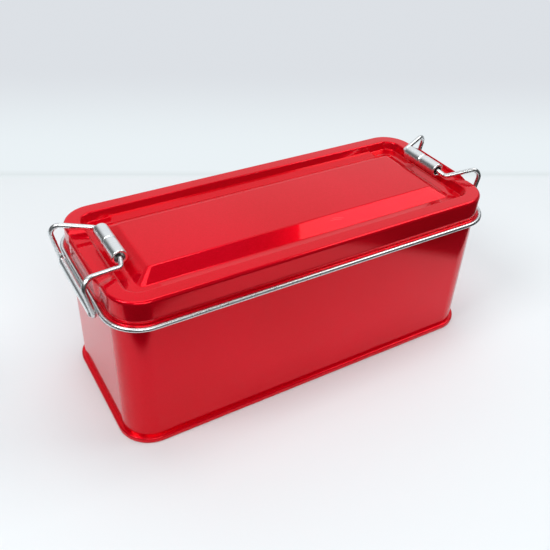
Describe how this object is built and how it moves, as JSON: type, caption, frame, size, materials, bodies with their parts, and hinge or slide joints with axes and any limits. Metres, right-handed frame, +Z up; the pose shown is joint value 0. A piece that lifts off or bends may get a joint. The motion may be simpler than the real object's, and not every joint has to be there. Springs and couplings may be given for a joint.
{
  "type": "tin box with wire clasps",
  "caption": "Shut rectangular tin box with rounded corners, a pressed slip-over lid, a wire ring round its neck and a wire clasp over each end.",
  "frame": {"origin": "middle of the underside, on the plane the tin stands on", "axes": "+X along the length, +Y across the width towards the far long side, +Z up"},
  "size_m": [0.2108, 0.0858, 0.0875],
  "materials": {
    "enamel": "glossy red lacquer over tinplate",
    "wire": "bright nickel-plated spring wire",
    "tube": "satin nickel-plated rolled tube"
  },
  "bodies": {
    "root": {"tin_body": "enamel", "base_seam": "enamel", "lid": "enamel", "neck_ring": "wire", "bail_left": "wire", "bail_right": "wire", "ferrule_left": "tube", "ferrule_right": "tube", "hinge_sleeve_left": "tube", "hinge_sleeve_right": "tube"}
  },
  "joints": []
}
